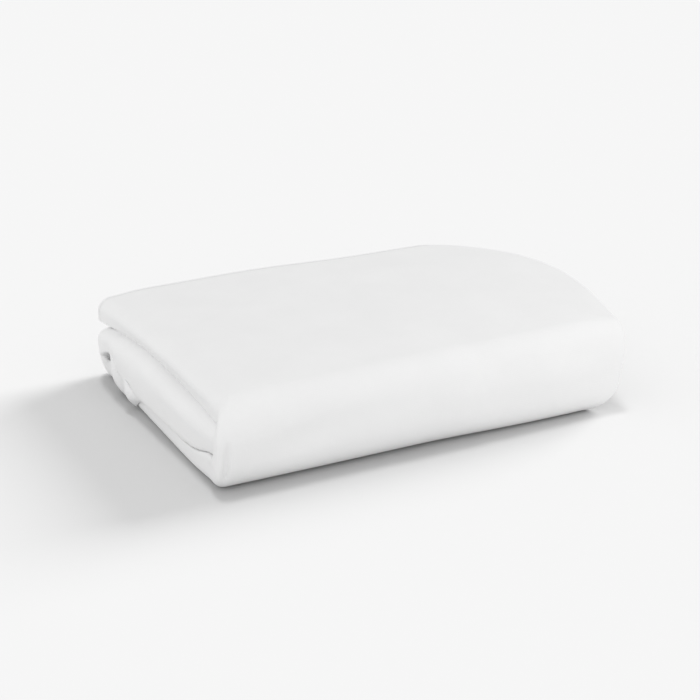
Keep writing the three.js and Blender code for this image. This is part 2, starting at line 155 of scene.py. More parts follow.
@dataclass(frozen=True)
class Levels:
    """Heights of the three thirds above the surface, as smooth functions of the place in plan.

    A height starts from its nominal value, falls towards the two ends, rises slowly from left to
    right, and takes its own hills. left_end, right_end, slow_rise and back_edge are the places
    between which these steps run, and the pairs of falls are for the left and the right end. A
    negative gap presses the thirds together, and left_press the upper one further at the left.
    """

    lower_top: float = 0.0140
    middle_top: float = 0.0460
    height: float = 0.0676
    gap: float = -0.0003
    left_press: float = 0.0013
    left_end: Pair = (-0.184, -0.130)
    right_end: Pair = (0.115, 0.195)
    slow_rise: Pair = (-0.170, 0.060)
    back_edge: Pair = (0.050, 0.125)
    lower_rise: float = 0.0016
    middle_falls: Pair = (0.0014, 0.0024)
    middle_rise: float = 0.0012
    top_falls: Pair = (0.0040, 0.0042)
    top_rise: float = 0.0022
    back_fall: float = 0.0012
    back_fall_grows: float = 0.0014
    under_middle: Hill = Hill(-0.180, 0.078, 0.026, 0.024)
    hollow_floor: float = 0.0055
    hollow_height: float = 0.0115
    under_upper: Hill = Hill(-0.178, 0.116, 0.022, 0.026)
    slit_floor: float = 0.0042
    slit_height: float = 0.0034
    middle_bulge: Hill = Hill(-0.170, 0.036, 0.070, 0.052, 0.0026)
    corner_puff: Hill = Hill(-0.176, -0.113, 0.032, 0.026, 0.0100)
    top_dip: Hill = Hill(-0.070, 0.040, 0.080, 0.060, 0.0009)
    top_hill: Hill = Hill(0.070, -0.010, 0.090, 0.070, 0.0005)
    ripple: float = 0.00035
    ripple_lengths: Pair = (0.024, 0.038)

    def at(self, x: Grid, y: Grid) -> dict[str, Grid]:
        """Works out every level.

        Args:
            x: Place along the bundle.
            y: Place across it.

        Returns:
            The heights, by name.
        """
        left = 1.0 - smooth(*self.left_end, x)
        right = smooth(*self.right_end, x)
        rise = smooth(*self.slow_rise, x)
        hollow = self.under_middle.at(x, y)
        slit = self.under_upper.at(x, y)
        lower_top = (self.lower_top + self.hollow_floor * hollow + self.lower_rise * rise
                     + self.corner_puff.at(x, y))
        middle_bottom = lower_top + self.gap + self.hollow_height * hollow
        middle_top = (self.middle_top - self.middle_falls[0] * left - self.middle_falls[1] * right
                      + self.middle_rise * rise + self.middle_bulge.at(x, y) - self.slit_floor * slit)
        upper_bottom = middle_top + self.gap - self.left_press * left + self.slit_height * slit
        back_fall = (self.back_fall + self.back_fall_grows * rise) * smooth(*self.back_edge, y)
        ripple = self.ripple * np.sin(x / self.ripple_lengths[0] - y / self.ripple_lengths[1])
        top = (self.height - self.top_falls[0] * left - self.top_falls[1] * right
               - self.top_rise * (1 - rise) - back_fall - self.top_dip.at(x, y)
               + self.top_hill.at(x, y) + ripple)
        return {"lower_top": lower_top, "middle_bottom": middle_bottom, "middle_top": middle_top,
                "upper_bottom": upper_bottom, "top": top}


@dataclass(frozen=True)
class RightEnd:
    """One third's bowed right end: its reach at the crest, and how far it draws in either way."""

    reach: float
    front_inset: float
    back_inset: float
    crest_y: float = 0.008
    over_front: float = 0.110
    over_back: float = 0.104
    front_power: float = 1.7
    back_power: float = 2.2

    def at(self, y: Grid) -> Grid:
        """Where the end stands: towards the back it draws in on a quarter of a superellipse, and
        towards the front on a power curve."""
        past = y - self.crest_y
        back = np.clip(past / self.over_back, 0.0, 1.0) ** self.back_power
        front = np.clip(-past / self.over_front, 0.0, 1.0) ** self.front_power
        return self.reach - self.back_inset * (1.0 - np.sqrt(1.0 - back)) - self.front_inset * front


@dataclass(frozen=True)
class Footprint:
    """Where the folds and free edges lie in plan, and how blunt the two turns are.

    The wrap thins and flattens, and the free edge slants, between the two places along X of each
    pair. The wrap's right end draws in between two angles.
    """

    centre_x: float = 0.0008
    centre_y: float = -0.0040
    wrap_axis_y: float = -0.1035
    wrap_outer: float = 0.0240
    wrap_inner: float = 0.0120
    wrap_inner_left: float = 0.0140
    wrap_thins: Pair = (-0.170, -0.060)
    wrap_swell: Wave = Wave(0.0012, -0.190, 0.120)
    wrap_above: float = 2.3
    wrap_below: float = 3.1
    wrap_below_right: float = 5.2
    wrap_flattens: Pair = (-0.020, 0.110)
    wrap_within: float = 4.5
    wrap_stands_out: float = 0.0045
    wrap_draws_in: Pair = (-0.6 * math.pi, 0.15 * math.pi)
    back_fold_y: float = 0.1000
    back_outer: float = 0.0170
    back_inner: float = 0.0010
    back_squareness: float = 2.3
    back_swell: Wave = Wave(0.0015, 0.0, 0.053)
    turns_draw_in: float = 0.005
    tuck_share: float = 0.985
    tuck_gap: float = -0.0003
    edge_y: float = 0.1205
    edge_slant: float = 0.012
    edge_slants: Pair = (-0.120, 0.130)
    edge_power: float = 1.5
    edge_wave: Wave = Wave(0.0012, 0.0, 0.037)
    upper_left: DepthRow = DepthRow(-0.1750, -0.1655, -0.1690)
    middle_left: DepthRow = DepthRow(-0.1815, -0.1800, -0.1745)
    lower_left: DepthRow = DepthRow(-0.1750, -0.1760, -0.1770)
    upper_right: RightEnd = RightEnd(0.186, 0.027, 0.095)
    middle_right: RightEnd = RightEnd(0.181, 0.036, 0.062)
    lower_right: RightEnd = RightEnd(0.178, 0.054, 0.066)

    def inner_reach(self, x: Grid) -> Grid:
        """Reach of the wrap's inner face: the wrap is a little thinner towards the left end."""
        return blend(self.wrap_inner_left, self.wrap_inner, smooth(*self.wrap_thins, x))

    def tuck_reach(self, x: Grid) -> Grid:
        """Reach of the curve that the middle third's tucked edge closes in on."""
        return self.inner_reach(x) - self.tuck_gap

    def upper_edge(self, x: Grid) -> Grid:
        """The free back edge of the upper third: it slants forwards to the right and waves a little."""
        start, end = self.edge_slants
        slanted = np.clip((x - start) / (end - start), 0.0, 1.0) ** self.edge_power
        return self.edge_y - self.edge_slant * slanted - self.edge_wave.at(x)


LEVELS = Levels()
PLAN = Footprint()
CLOTH = ClothSizes()
STRETCH = 1.05


# The zones that the folded strip runs through


@dataclass(frozen=True)
class Zone(ABC):
    """Part of the strip's way across the bundle. at is the place across, as a column, and x the
    places along, so that every method works on a whole grid. blunt says how blunt the folded end
    is towards the outer and the inner face."""

    edge_phase: float
    blunt: Pair

    @abstractmethod
    def thickness(self, at: Grid, x: Grid) -> Grid:
        """Thickness of the strip."""

    @abstractmethod
    def place(self, at: Grid, x: Grid, share: Grid) -> tuple[Grid, Grid]:
        """Place across and height, at a share of the thickness from the outer face."""

    @abstractmethod
    def left_tip(self, at: Grid) -> Grid:
        """Where the folded left end stands."""

    @abstractmethod
    def right_tip(self, at: Grid) -> Grid:
        """Where the right end stands."""

    def squareness(self, at: Grid, face: int) -> Grid:
        """How blunt the folded end is towards a face, 0 outer and 1 inner."""
        return np.full_like(at, self.blunt[face])

    def side_fill(self, at: Grid) -> Grid:
        """How fully the side skirt fills the gaps between plies: nowhere, unless a zone says so."""
        return np.zeros_like(at)


@dataclass(frozen=True)
class Third(Zone):
    """One of the three level thirds, where at is a share of the way from one turn or edge to the
    next. Its ends are a row of tips on the left and a bow on the right. hem is where the side
    skirt's hem lies, and fade how far the skirt takes to fade out."""

    left: DepthRow
    right: RightEnd
    hem: float = 0.0
    fade: float = 0.16
    right_x: float = 0.120

    @abstractmethod
    def faces(self, at: Grid, x: Grid) -> tuple[Grid, Grid, Grid]:
        """The place across, and the heights of the outer and the inner face."""

    def thickness(self, at: Grid, x: Grid) -> Grid:
        """Distance between the two faces."""
        _, outer, inner = self.faces(at, x)
        return np.abs(outer - inner)

    def place(self, at: Grid, x: Grid, share: Grid) -> tuple[Grid, Grid]:
        """Place across and height, by the share of the thickness from the outer face."""
        y, outer, inner = self.faces(at, x)
        return y, blend(outer, inner, share)

    def left_tip(self, at: Grid) -> Grid:
        """Where the folded left end stands."""
        return self.left.at(self.from_back(at))

    def right_tip(self, at: Grid) -> Grid:
        """Where the right end stands."""
        return self.right.at(self.faces(at, np.full_like(at, self.right_x))[0])

    def from_back(self, at: Grid) -> Grid:
        """Share of the way from the back to the front."""
        return at


@dataclass(frozen=True)
class UpperThird(Third):
    """The upper third, from its free back edge (0) to the wrap at the front (1)."""

    def faces(self, at: Grid, x: Grid) -> tuple[Grid, Grid, Grid]:
        """The place across, and the heights of the top and the underside."""
        y = blend(PLAN.upper_edge(x), PLAN.wrap_axis_y, at)
        level = LEVELS.at(x, y)
        return y, level["top"], level["upper_bottom"]

    def side_fill(self, at: Grid) -> Grid:
        """The side skirt lies behind its hem and fades out in front of it."""
        return 1.0 - smooth(self.hem, self.hem + self.fade, at)


@dataclass(frozen=True)
class LowerThird(Third):
    """The lower third, from the wrap (0) to the back fold (1), its outer face on the surface."""

    def faces(self, at: Grid, x: Grid) -> tuple[Grid, Grid, Grid]:
        """The place across, and the heights of the underside and the top."""
        y = blend(PLAN.wrap_axis_y, PLAN.back_fold_y, at) + 0.0 * x
        return y, 0.0 * y, LEVELS.at(x, y)["lower_top"]

    def from_back(self, at: Grid) -> Grid:
        """Share of the way from the back to the front."""
        return 1.0 - at


@dataclass(frozen=True)
class MiddleThird(Third):
    """The middle third, from the back fold (0) to its free edge inside the wrap (1)."""

    def faces(self, at: Grid, x: Grid) -> tuple[Grid, Grid, Grid]:
        """The place across, and the heights of the top and the underside. Past the wrap's axis they
        close in on its centre height, on superellipses as blunt as the wrap's inner face."""
        edge = PLAN.wrap_axis_y - PLAN.tuck_share * PLAN.tuck_reach(x)
        y = blend(PLAN.back_fold_y, edge, at)
        level = LEVELS.at(x, y)
        wrap = LEVELS.at(x, PLAN.wrap_axis_y)
        centre = (wrap["lower_top"] + wrap["upper_bottom"]) / 2
        past = np.clip((PLAN.wrap_axis_y - y) / PLAN.tuck_reach(x), 0.0, 1.0)
        closed = (1.0 - past**PLAN.wrap_within) ** (1.0 / PLAN.wrap_within)
        top = centre + (level["middle_top"] - centre) * closed
        return y, top, centre + (level["middle_bottom"] - centre) * closed

    def side_fill(self, at: Grid) -> Grid:
        """The side skirt lies in front of its hem and fades out behind it."""
        return smooth(self.hem - self.fade, self.hem, at)


@dataclass(frozen=True)
class Turn(Zone):
    """A turn of the strip about a level axis, where at is the angle from level. Its faces are nested
    superellipses. top and inside name the levels of the faces of the third above it, way is its
    direction along Y, and blunt_below and blunt_above belong to the thirds that it joins."""

    blunt_below: Pair
    blunt_above: Pair
    axis_y: float
    way: float
    top: str
    inside: str
    swell: Wave

    @abstractmethod
    def reaches(self, x: Grid) -> tuple[Grid, Grid]:
        """Reach of the outer and of the inner face from the axis."""

    @abstractmethod
    def roundness(self, at: Grid, x: Grid, share: Grid) -> Grid:
        """Squareness of the turn's section."""

    def squareness(self, at: Grid, face: int) -> Grid:
        """Goes from the third below through the turn's own value to the third above, on the sine
        squared of the angle."""
        neighbour = np.where(at > 0, self.blunt_above[face], self.blunt_below[face])
        return blend(self.blunt[face], neighbour, np.sin(at) ** 2)

    def sides(self, at: Grid, x: Grid) -> tuple[Grid, Grid, Grid]:
        """The turn's centre height, its inner half height, and the strip's thickness above or below."""
        level = LEVELS.at(x, self.axis_y)
        centre = (level["lower_top"] + level[self.inside]) / 2
        inner = (level[self.inside] - level["lower_top"]) / 2
        return centre, inner, np.where(at > 0, level[self.top] - level[self.inside], level["lower_top"])

    def thickness(self, at: Grid, x: Grid) -> Grid:
        """Between the thickness of the thirds and the turn's own depth, by the angle."""
        _, _, side = self.sides(at, x)
        outer, inner = self.reaches(x)
        return np.hypot(side * np.sin(at), (outer - inner) * np.cos(at))

    def place(self, at: Grid, x: Grid, share: Grid) -> tuple[Grid, Grid]:
        """Place across and height, on superellipses that shrink from the outer face inwards."""
        centre, inner, side = self.sides(at, x)
        out, up = squarish(at, self.roundness(at, x, share))
        outer_reach, inner_reach = self.reaches(x)
        reach = blend(outer_reach + self.swell.at(x), inner_reach, share)
        return self.axis_y + self.way * reach * out, centre + (inner + (1.0 - share) * side) * up


@dataclass(frozen=True)
class FrontWrap(Turn):
    """The wrap down the front, from a quarter turn up to one down."""

    def reaches(self, x: Grid) -> tuple[Grid, Grid]:
        """Reach of the outer and of the inner face from the axis."""
        return PLAN.wrap_outer, PLAN.inner_reach(x)

    def roundness(self, at: Grid, x: Grid, share: Grid) -> Grid:
        """Squareness of the wrap's section: blunter inside, below, and below towards the right."""
        below = blend(PLAN.wrap_below, PLAN.wrap_below_right, smooth(*PLAN.wrap_flattens, x))
        return blend(np.where(at > 0, PLAN.wrap_above, below), PLAN.wrap_within, share)

    def left_tip(self, at: Grid) -> Grid:
        """Where the folded left end stands."""
        joined = blend(PLAN.lower_left.front, PLAN.upper_left.front, 0.5 + at / math.pi)
        return joined - PLAN.wrap_stands_out * np.cos(at)

    def right_tip(self, at: Grid) -> Grid:
        """Where the right end stands: it draws in towards the underside."""
        upper = PLAN.upper_right.at(np.float64(self.axis_y))
        lower = PLAN.lower_right.at(np.float64(self.axis_y))
        return blend(lower, upper, smooth(*PLAN.wrap_draws_in, at)) - PLAN.turns_draw_in * np.cos(at)


@dataclass(frozen=True)
class BackFold(Turn):
    """The fold up the back, from a quarter turn down to one up."""

    def reaches(self, x: Grid) -> tuple[Grid, Grid]:
        """Reach of the outer and of the inner face from the axis."""
        return PLAN.back_outer, PLAN.back_inner

    def roundness(self, at: Grid, x: Grid, share: Grid) -> Grid:
        """Squareness of the fold's section, the same all round."""
        return PLAN.back_squareness

    def left_tip(self, at: Grid) -> Grid:
        """Where the folded left end stands."""
        return blend(PLAN.lower_left.back, PLAN.middle_left.back, 0.5 + at / math.pi)

    def right_tip(self, at: Grid) -> Grid:
        """Where the right end stands."""
        lower = PLAN.lower_right.at(np.float64(self.axis_y))
        middle = PLAN.middle_right.at(np.float64(self.axis_y))
        return blend(lower, middle, 0.5 + at / math.pi) - PLAN.turns_draw_in * np.cos(at)


UPPER_BLUNT = (1.9, 12.0)
FRONT_BLUNT = (2.6, 12.0)
LOWER_BLUNT = (2.5, 12.0)
BACK_BLUNT = (2.5, 8.0)
MIDDLE_BLUNT = (2.3, 7.0)

UPPER = UpperThird(5, UPPER_BLUNT, PLAN.upper_left, PLAN.upper_right, 0.77)
FRONT = FrontWrap(5, FRONT_BLUNT, LOWER_BLUNT, UPPER_BLUNT, PLAN.wrap_axis_y, -1.0,
                  "top", "upper_bottom", PLAN.wrap_swell)
LOWER = LowerThird(5, LOWER_BLUNT, PLAN.lower_left, PLAN.lower_right)
BACK = BackFold(4, BACK_BLUNT, LOWER_BLUNT, MIDDLE_BLUNT, PLAN.back_fold_y, 1.0,
                "middle_top", "middle_bottom", PLAN.back_swell)
MIDDLE = MiddleThird(6, MIDDLE_BLUNT, PLAN.middle_left, PLAN.middle_right, 0.20)


# The folded strip


class Layer(Enum):
    """The two cloths that run through the strip."""

    PANEL = "panel"
    SKIRT = "skirt"


class Fold(Enum):
    """The folds between plies: the two plies that each joins, 1 where the cloth's underside faces
    into the fold or -1 where it faces out, and the way that it points along X."""

    LEFT_OUTER = ((3, 0), 1, -1)
    RIGHT = ((0, 1), 1, 1)
    LEFT_INNER = ((1, 2), -1, -1)


@dataclass(frozen=True)
class GridSteps:
    """How finely a layer is cut into faces: across each zone, along the outer ply and the others,
    and round each fold."""

    upper: int
    front: int
    lower: int
    back: int
    middle: int
    outer_ply: int
    inner_ply: int
    left_outer: int
    left_inner: int
    right: int

    def round_fold(self, fold: Fold) -> int:
        """Steps round one of the folds."""
        return {Fold.LEFT_OUTER: self.left_outer, Fold.LEFT_INNER: self.left_inner,
                Fold.RIGHT: self.right}[fold]


@dataclass(frozen=True)
class ZoneRows:
    """The rows of one zone as a column, how fully the side skirt fills them, and where their
    straight plies start and end along X."""

    zone: Zone
    at: Grid
    side: Grid
    left_x: Grid
    right_x: Grid


@dataclass(frozen=True)
class Run:
    """A run of stops: places along X and shares of the thickness, both rows by stops by two faces,
    and for each stop whether it lies on the end skirt."""

    x: Grid
    share: Grid
    on_end: Grid


@dataclass
class FoldedStrip:
    """One cloth of the folded strip, as a grid of places on its two faces. The end skirt runs from
    the share end_hem of a ply's length to its right end."""

    layer: Layer
    steps: GridSteps
    end_hem: float = 0.5
    end_fade: float = 0.12
    dense_back: float = 1.35
    dense_ends: float = 0.13
    tucked_rows: tuple[float, ...] = (0.95, 0.97, 0.985, 0.993)
    edge_past: float = 0.003
    edge_wave: float = 0.0025
    edge_waves: float = 4.0
    edge_step: float = 0.001

    def rows(self) -> list[tuple[Zone, Grid]]:
        """Rows across the strip, zone by zone, from the upper third's free edge to the middle's,
        with one at each hem of the side skirt. Rows that differ by rounding alone are one.

        Returns:
            Zones, each with its places across as a column.
        """
        steps = self.steps
        upper = np.append(np.linspace(0.0, 1.0, steps.upper) ** self.dense_back, UPPER.hem)
        middle = np.append(np.linspace(0.0, 1.0, steps.middle + 1)[1:], [MIDDLE.hem, *self.tucked_rows])
        places = (
            (UPPER, np.unique(upper)),
            (FRONT, np.linspace(QUARTER, -QUARTER, steps.front + 1)[1:]),
            (LOWER, np.linspace(0.0, 1.0, steps.lower + 1)[1:]),
            (BACK, np.linspace(-QUARTER, QUARTER, steps.back + 1)[1:]),
            (MIDDLE, np.unique(np.round(middle, 9))),
        )
        return [(zone, at[:, None]) for zone, at in places]

    def shares_along(self, count: int) -> Grid:
        """Shares along a ply, closer together near both ends, with one at the end skirt's hem."""
        k = np.linspace(0.0, 1.0, count)
        eased = k - self.dense_ends * np.sin(2 * math.pi * k)
        return np.unique(np.append(eased, self.end_hem))

    def depths(self, thickness: Grid, side: Grid, end: Grid) -> tuple:
        """Shares the strip's thickness among four plies of panel and the skirt between them.

        The gap is what is left of the thickness once the cloth is taken out, divided evenly.

        Args:
            thickness: Thickness of the strip.
            side: How fully the side skirt fills the gaps.
            end: How fully the end skirt fills them.

        Returns:
            The gap, and the depth of each ply's middle.
        """
        inner = 1.0 - (1.0 - side) * (1.0 - end)
        cloth = 4 * CLOTH.panel + 2 * (side + inner) * CLOTH.skirt
        gap = (thickness - cloth) / (3 + 2 * (side + inner))
        first = np.full_like(gap, CLOTH.panel / 2)
        second = first + CLOTH.panel + gap + side * 2 * (CLOTH.skirt + gap)
        third = second + CLOTH.panel + gap
        fourth = third + CLOTH.panel + gap + inner * 2 * (CLOTH.skirt + gap)
        return gap, [first, second, third, fourth]

    def offsets(self, gap: Grid) -> tuple[Grid, Grid]:
        """How far this cloth's faces lie from the middle of its panel ply, towards the underside."""
        half = CLOTH.panel / 2
        if self.layer is Layer.PANEL:
            return np.full_like(gap, -half), np.full_like(gap, half)
        return half + gap, half + gap + CLOTH.skirt

    def span(self, zone: Zone, at: Grid) -> ZoneRows:
        """Works out where the plies of a zone's rows start and end.

        Args:
            zone: The zone.
            at: Its rows, as a column.

        Returns:
            The rows, ready for their runs.
        """
        side = zone.side_fill(at)
        left_tip, right_tip = zone.left_tip(at), zone.right_tip(at)
        left_x = left_tip + STRETCH * zone.thickness(at, left_tip) / 2
        _, plies = self.depths(zone.thickness(at, right_tip), side, np.ones_like(at))
        right_x = right_tip - STRETCH * ((plies[1] - plies[0]) / 2 + CLOTH.panel / 2)
        return ZoneRows(zone, at, side, left_x, right_x)

    def straight(self, rows: ZoneRows, ply: int, underside: int, forwards: bool) -> Run:
        """One ply's stops.

        Args:
            rows: The zone's rows.
            ply: Which ply, 0 the outermost. The third and the fourth end in an open edge.
            underside: 1 where its underside faces inwards, -1 where it faces outwards.
            forwards: Whether the stops run from the left to the right.

        Returns:
            The run.
        """
        shares = self.shares_along(self.steps.outer_ply if ply == 0 else self.steps.inner_ply)
        shares = shares if forwards else shares[::-1]
        x = blend(rows.left_x, rows.right_x, shares[None, :])
        if ply >= 2:
            edge = self.edge_past + self.edge_wave * np.sin(self.edge_waves * rows.at + rows.zone.edge_phase)
            x = x + np.where(shares == 1.0, edge - self.edge_step * ply, 0.0)
        thick = rows.zone.thickness(rows.at, x)
        fill = smooth(self.end_hem - self.end_fade, self.end_hem, shares)[None, :] + 0.0 * x
        gap, plies = self.depths(thick, rows.side + 0.0 * x, fill)
        faces = [(plies[ply] + underside * off) / thick for off in self.offsets(gap)]
        on_end = (shares >= self.end_hem) & (ply >= 2)
        return Run(np.stack([x, x], -1), np.stack(faces, -1), on_end)

    def turn(self, rows: ZoneRows, fold: Fold) -> Run:
        """A fold's stops: a superellipse about the middle of the two plies that it joins.

        Args:
            rows: The zone's rows.
            fold: Which fold.

        Returns:
            The run.
        """
        (start_ply, end_ply), inwards, way = fold.value
        x = rows.right_x if fold is Fold.RIGHT else rows.left_x
        on_right = np.full_like(rows.at, 1.0 if fold is Fold.RIGHT else 0.0)
        thick = rows.zone.thickness(rows.at, x)
        gap, plies = self.depths(thick, rows.side, on_right)
        middle = (plies[start_ply] + plies[end_ply]) / 2
        radius = np.abs(plies[start_ply] - plies[end_ply]) / 2
        start = 1.0 if start_ply > end_ply else -1.0
        count = self.steps.round_fold(fold)
        angle = math.pi * (0.5 - np.arange(1, count) / count)[None, :]
        squareness = [rows.zone.squareness(rows.at, face) for face in (0, 1)]
        out, up = squarish(angle, np.where(start * angle > 0, squareness[1], squareness[0]))
        radii = [radius - inwards * off for off in self.offsets(gap)]
        places = [x + way * STRETCH * r * out for r in radii]
        shares = [(middle + start * r * up) / thick for r in radii]
        return Run(np.stack(places, -1), np.stack(shares, -1), np.zeros(count - 1, bool))

    def zone_path(self, zone: Zone, at: Grid) -> Run:
        """The cloth's way along the strip for every row of one zone: from the open edge of the
        fourth ply to the left, round the outer fold to the first, along it, round the right end to
        the second, back, round the inner fold and out on the third.

        Args:
            zone: The zone.
            at: Its rows, as a column.

        Returns:
            All its runs in one.
        """
        rows = self.span(zone, at)
        runs = (
            self.straight(rows, 3, -1, False),
            self.turn(rows, Fold.LEFT_OUTER),
            self.straight(rows, 0, 1, True),
            self.turn(rows, Fold.RIGHT),
            self.straight(rows, 1, -1, False),
            self.turn(rows, Fold.LEFT_INNER),
            self.straight(rows, 2, 1, True),
        )
        return Run(np.concatenate([run.x for run in runs], 1), np.concatenate([run.share for run in runs], 1),
                   np.concatenate([run.on_end for run in runs]))

    def grid(self) -> tuple[Grid, Grid]:
        """Places every stop of every row.

        Returns:
            Points, rows by stops by two faces by three, and which cells are cloth.
        """
        points, sides = [], []
        for zone, at in self.rows():
            path = self.zone_path(zone, at)
            y, z = zone.place(at[:, :, None], path.x, path.share)
            points.append(np.stack([path.x - PLAN.centre_x, y + 0.0 * path.x - PLAN.centre_y, z], -1))
            sides.append(zone.side_fill(at)[:, 0] >= 1.0)
        whole = np.concatenate(points, 0)
        if self.layer is Layer.PANEL:
            return whole, np.ones((whole.shape[0] - 1, whole.shape[1] - 1), bool)
        side, end = np.concatenate(sides), path.on_end
        return whole, (side[:-1] & side[1:])[:, None] | (end[:-1] & end[1:])[None, :]


# Meshes


def placed(name: str, data: bpy.types.ID) -> bpy.types.Object:
    """Makes an object of some data and links it to the scene."""
    piece = bpy.data.objects.new(name, data)
    bpy.context.scene.collection.objects.link(piece)
    return piece


def sheet_mesh(name: str, grid: Grid, cloth: Grid, flat: Grid) -> bpy.types.Object:
    """Closes a grid of two faces into a sheet: a quad for each cell on either face, and a wall
    round every rim.

    Args:
        name: The object's name.
        grid: Points, rows by stops by two faces by three.
        cloth: Which cells are cloth.
        flat: The cloth's own flat coordinates in metres, rows by stops by two.

    Returns:
        The object, at the origin, with its flat coordinates as the UV map "cloth".
    """
    rows, stops = grid.shape[:2]
    number = np.arange(rows * stops * 2).reshape(rows, stops, 2)
    low, high = number[:-1], number[1:]
    outer = np.stack([low[:, :-1, 0], high[:, :-1, 0], high[:, 1:, 0], low[:, 1:, 0]], -1)[cloth]
    inner = np.stack([low[:, :-1, 1], low[:, 1:, 1], high[:, 1:, 1], high[:, :-1, 1]], -1)[cloth]
    padded = np.pad(cloth, 1)
    here = padded[1:-1, 1:-1]
    rims = []
    for gone, first, last in (
        (~padded[:-2, 1:-1], low[:, :-1], low[:, 1:]),
        (~padded[2:, 1:-1], high[:, 1:], high[:, :-1]),
        (~padded[1:-1, :-2], high[:, :-1], low[:, :-1]),
        (~padded[1:-1, 2:], low[:, 1:], high[:, 1:]),
    ):
        wall = np.stack([first[..., 0], last[..., 0], last[..., 1], first[..., 1]], -1)
        rims.append(wall[here & gone])
    faces = np.concatenate([outer, inner, *rims])
    used, compact = np.unique(faces, return_inverse=True)
    compact = compact.reshape(faces.shape)
    mesh = bpy.data.meshes.new(name)
    mesh.from_pydata(grid.reshape(-1, 3)[used].tolist(), [], compact.tolist())
    mesh.polygons.foreach_set("use_smooth", np.ones(len(faces), bool))
    doubled = np.repeat(flat[:, :, None, :], 2, 2).reshape(-1, 2)[used]
    layer = mesh.uv_layers.new(name="cloth")
    layer.data.foreach_set("uv", doubled[compact.ravel()].ravel().astype(np.float32))
    mesh.update()
    mesh.validate()
    return placed(name, mesh)


def flat_coordinates(grid: Grid) -> Grid:
    """Runs of length along and across the middle of the sheet.

    Args:
        grid: Points, rows by stops by two faces by three.

    Returns:
        Metres along the cloth and metres across it, rows by stops by two.
    """
    centre = grid.mean(2)
    along = np.linalg.norm(np.diff(centre, axis=1), axis=-1)
    across = np.linalg.norm(np.diff(centre, axis=0), axis=-1).mean(1)
    u = np.pad(np.cumsum(along, 1), ((0, 0), (1, 0)))
    v = np.pad(np.cumsum(across), (1, 0))[:, None] + 0.0 * u
    return np.stack([u, v], -1)


def flat_size(flat: Grid) -> Pair:
    """Largest run along the cloth and across it."""
    return float(flat[..., 0].max()), float(flat[..., 1].max())


def surface_normals(grid: Grid) -> Grid:
    """Unit normals of a grid surface, from the cross product of its two directions."""
    normal = np.cross(np.gradient(grid, axis=0), np.gradient(grid, axis=1))
    return normal / np.maximum(np.linalg.norm(normal, axis=-1, keepdims=True), 1e-12)


class Side(Enum):
    """The side of the bundle that a crease shows on: the two axes that it is laid out in, the axis
    that the side faces along, and the sign of that."""

    TOP = (0, 1, 2, 1.0)
    FRONT = (0, 2, 1, -1.0)
    LEFT = (1, 2, 0, -1.0)


@dataclass(frozen=True)
class Crease:
    """A soft trough (depth below 0) or ridge (above 0) along a straight or bowed line on one side.

    The height is depth * exp(-(d/width)^2) at a distance d from the line. It sinks to the share
    kept at both ends, and towards cloth that faces another way on a power of the normal.
    """

    side: Side
    start: Pair
    end: Pair
    width: float
    depth: float
    bow: float = 0.0
    fade: float = 0.25
    kept: float = 0.35
    facing_power: float = 1.5

    def lift(self, points: Grid, normals: Grid) -> Grid:
        """How far the crease lifts the cloth at each point.

        Args:
            points: Places on the cloth.
            normals: Its unit normals there.

        Returns:
            The lift in metres, along the normal.
        """
        first, second, facing, sign = self.side.value
        place = points[..., [first, second]]
        start = np.array(self.start)
        line = np.array(self.end) - start
        length = float(np.hypot(*line))
        direction = line / length
        across = np.array([-direction[1], direction[0]])
        along = (place - start) @ direction / length
        inside = np.clip(along, 0.0, 1.0)
        bowed = self.bow * 4 * inside * (1 - inside)
        beyond = np.maximum(np.abs(along - 0.5) - 0.5, 0.0) * length
        distance = np.hypot((place - start) @ across - bowed, beyond)
        ends = smooth(0.0, self.fade, inside) * smooth(0.0, self.fade, 1.0 - inside)
        turned = np.clip(sign * normals[..., facing], 0.0, 1.0) ** self.facing_power
        return self.depth * np.exp(-((distance / self.width) ** 2)) * blend(self.kept, 1.0, ends) * turned


# Finishes


class NodeTools:
    """Short ways to add, set and join shader nodes."""

    def __init__(self, tree: bpy.types.NodeTree) -> None:
        """Keeps the tree that nodes are added to."""
        self.tree = tree

    def add(self, kind: str, inputs: dict[str, float] | None = None, **values: object) -> bpy.types.Node:
        """Adds a node and sets its own properties.

        Args:
            kind: The node's type name.
            inputs: Values of its inputs by name.
            **values: Properties of the node by name.

        Returns:
            The node.
        """
        node = self.tree.nodes.new(kind)
        for name, value in values.items():
            setattr(node, name, value)
        self.fill(node, inputs or {})
        return node

    def fill(self, node: bpy.types.Node, inputs: dict[str, float]) -> None:
        """Sets a node's inputs by name."""
        for name, value in inputs.items():
            node.inputs[name].default_value = value

    def join(self, source: Socket, target: Socket) -> None:
        """Joins an output to an input."""
        self.tree.links.new(source, target)

    def math(self, operation: str, first: object, second: object = 0.0) -> Socket:
        """A Math node on two values, each a socket or a number."""
        node = self.add("ShaderNodeMath", operation=operation)
        for socket, value in zip(node.inputs, (first, second)):
            if isinstance(value, Socket):
                self.join(value, socket)
            else:
                socket.default_value = float(value)
        return node.outputs[0]

    def noise(self, place: Socket, scale: float, detail: float,
              roughness: float = 0.5) -> Socket:
        """Noise at a place.

        Args:
            place: Where it is read.
            scale: How fine it is.
            detail: How many finer rounds it has.
            roughness: How strong those are.

        Returns:
            The noise, about 0 to 1.
        """
        node = self.add("ShaderNodeTexNoise", {"Scale": scale, "Detail": detail, "Roughness": roughness},
                        noise_dimensions="3D")
        self.join(place, node.inputs["Vector"])
        return node.outputs["Fac"]


